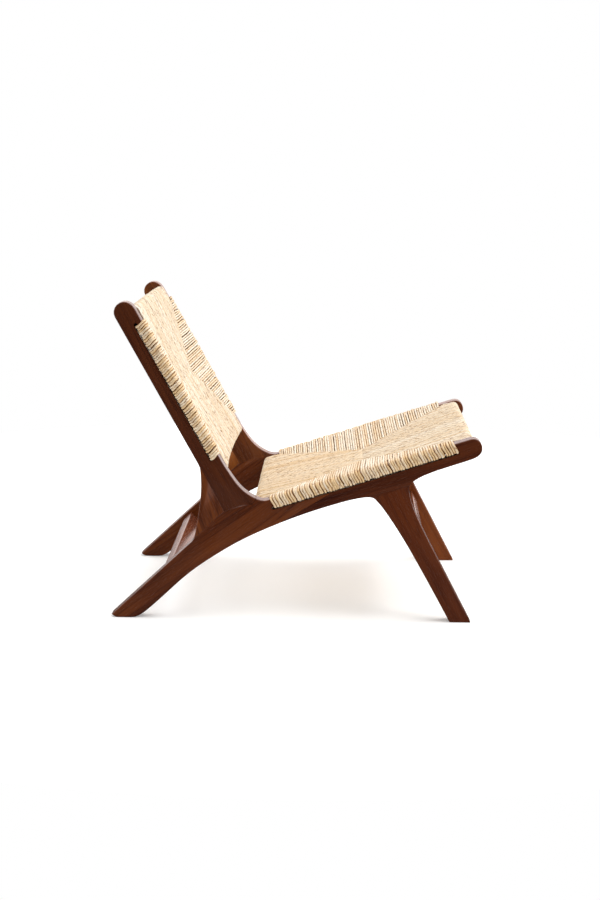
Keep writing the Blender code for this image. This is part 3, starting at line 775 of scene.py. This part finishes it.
def rail_strands(panel, end, golden, label, seed):
    """The strands that wrap one rail and run to the mitres and the middle line. The end
    is 0 at the panel's first rail and 1 at its second."""
    work, layers = new_strands()
    draw = random.Random(seed)
    half = CORD / 2.0
    reach = INNER_FACE - STRIP_GAP
    count = round(2.0 * reach / CORD_PITCH)
    pitch = 2.0 * reach / count
    lateral = Vector((1.0, 0.0, 0.0))
    half_along, half_out = panel.rail_half
    rail_along = panel.length if end else 0.0
    way = 1.0 if end else -1.0
    inner_edge = rail_along - way * (half_along - RAIL_INSET)
    for number in range(count):
        x = -reach + (number + 0.5) * pitch
        share = min(1.0, panel.share_across(x))
        from_rail = panel.corner + share * (panel.length / 2.0 - panel.corner)
        mitre = panel.length - from_rail if end else from_rail
        show, hidden = panel.skins(share)
        rail_out = -panel.drops[end] - panel.bow(x, end)
        proud = draw.uniform(*RAIL_PROUD)
        radius = RAIL_ROUND + half + proud
        upper_middle = (half_along - RAIL_ROUND, rail_out + half_out - RAIL_ROUND)
        lower_middle = (half_along - RAIL_ROUND, rail_out - half_out + RAIL_ROUND)
        bends = arc(upper_middle, radius, 90.0, 0.0, 4) + arc(lower_middle, radius, 0.0, -90.0, 4)
        section = mitre_end(mitre, way, show - half, -1.0)[::-1]
        section += [(inner_edge, rail_out + half_out + half + proud)]
        section += [(rail_along + way * past, out) for past, out in bends]
        section += [(inner_edge, rail_out - half_out - half - proud)]
        section += mitre_end(mitre, way, hidden + half, 1.0)
        line = divided(section, CORD_STEP)
        sway = draw.uniform(-RAIL_SWAY, RAIL_SWAY)
        placed = [panel.point(x + sway, along, out) for along, out in line]
        width = pitch * draw.uniform(*RAIL_SPREAD)
        thick = CORD * draw.uniform(*RAIL_THICK)
        # golden is painted shade added to every strand's hue: most on the seat's rear field, shaded
        # by the back, a little on its front field
        looks = [(width, golden + draw.random() ** PALENESS, 1.0)] * len(line)
        lay_strand(work, layers, placed, lateral, thick, looks, seed + number)
    return finish_strands(work, label, rush_cord)


side_strands(seat, -1.0, (0.92, 1.10), "seat_right_rush", 1000)
side_strands(seat, 1.0, (0.82, 1.06), "seat_left_rush", 2000)
# the seat's rear field is painted more golden as painted shade from the back, its front field a
# little; the back's fields are not
rail_strands(seat, 0, 0.35, "seat_rear_rush", 3000)
seat_front = rail_strands(seat, 1, 0.12, "seat_front_rush", 4000)
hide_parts("seat_weave")
side_strands(back, -1.0, (0.92, 1.10), "back_right_rush", 5000)
side_strands(back, 1.0, (0.80, 1.06), "back_left_rush", 6000)
rail_strands(back, 0, 0.0, "back_top_rush", 7000)
back_lower = rail_strands(back, 1, 0.0, "back_lower_rush", 8000)
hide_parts("back_weave")


# ---------------------------------------------------------------- packing
# Dry rush offcuts stuffed between the two layers of each panel while it is woven.
# They fill it out. They are coloured far darker than dry rush, as painted shade,
# so that they show dark where two strands stand apart.

PACKING_GRID = (36, 30)
FROM_STRIP = 0.003  # how far from the side strips the packing ends
FROM_RAIL = 0.002
PACKING_CLEAR = CORD + 0.0016  # how far it lies under the strands' outside
PACKING_LEAST = 0.0005  # its least thickness
NEAR_EDGE = 0.02  # the least share along a mitre, so that none is divided by zero

# painted shade: the packing is coloured near black-brown, with no shine, to stand for the shade
# between strands
packing_rush_painted_shade = timber(
    "packing_rush_painted_shade", (0.0, 0.0, 30.0), (0.0, 0.0, 0.0),
    (0.020, 0.011, 0.005), (0.060, 0.034, 0.016), (0.130, 0.080, 0.038), 0.5, 0.0008,
)
packing_rush_painted_shade.node_tree.nodes["Principled BSDF"].inputs["Specular IOR Level"].default_value = 0.0


def packing(panel, label):
    half_along, half_out = panel.rail_half
    wide = INNER_FACE - FROM_STRIP
    first = half_along + FROM_RAIL
    last = panel.length - first

    def level(x, along, hidden):
        """How far out the strands' outside is there, on the show or the hidden side."""
        end = along > panel.length / 2.0
        from_corner = within(panel.share_along(along), NEAR_EDGE)
        from_strip = within(panel.share_across(x), NEAR_EDGE)
        if from_strip < from_corner:
            edge = -panel.strip - CORD if hidden else CORD
        else:
            rail_skin = -half_out - CORD if hidden else half_out + CORD
            edge = -panel.drops[end] - panel.bow(x, end) + rail_skin
        low, high = sorted((from_strip, from_corner))
        return edge + low / high * (panel.skins(high)[hidden] - edge)

    work = bmesh.new()
    columns, rows = PACKING_GRID
    bmesh.ops.create_grid(work, x_segments=columns, y_segments=rows, size=1.0)
    flat = {vert: (wide * vert.co.x, first + (vert.co.y + 1.0) / 2.0 * (last - first))
            for vert in work.verts}
    for vert, (x, along) in flat.items():
        vert.co = panel.point(x, along, level(x, along, 0) - PACKING_CLEAR)
    lower = bmesh.ops.extrude_face_region(work, geom=work.faces[:])
    for vert in [item for item in lower["geom"] if isinstance(item, bmesh.types.BMVert)]:
        x = vert.co.x
        along = (Vector((-vert.co.y, vert.co.z)) - panel.start).dot(panel.along)
        top = level(x, along, 0) - PACKING_CLEAR
        bottom = level(x, along, 1) + PACKING_CLEAR
        vert.co = panel.point(x, along, min(bottom, top - PACKING_LEAST))
    bmesh.ops.recalc_face_normals(work, faces=work.faces)
    mesh = bpy.data.meshes.new(label)
    work.to_mesh(mesh)
    work.free()
    mesh.shade_smooth()
    mesh.materials.append(packing_rush_painted_shade)
    piece = bpy.data.objects.new(label, mesh)
    bpy.context.scene.collection.objects.link(piece)
    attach(piece, "root")


packing(seat, "seat_packing")
packing(back, "back_packing")
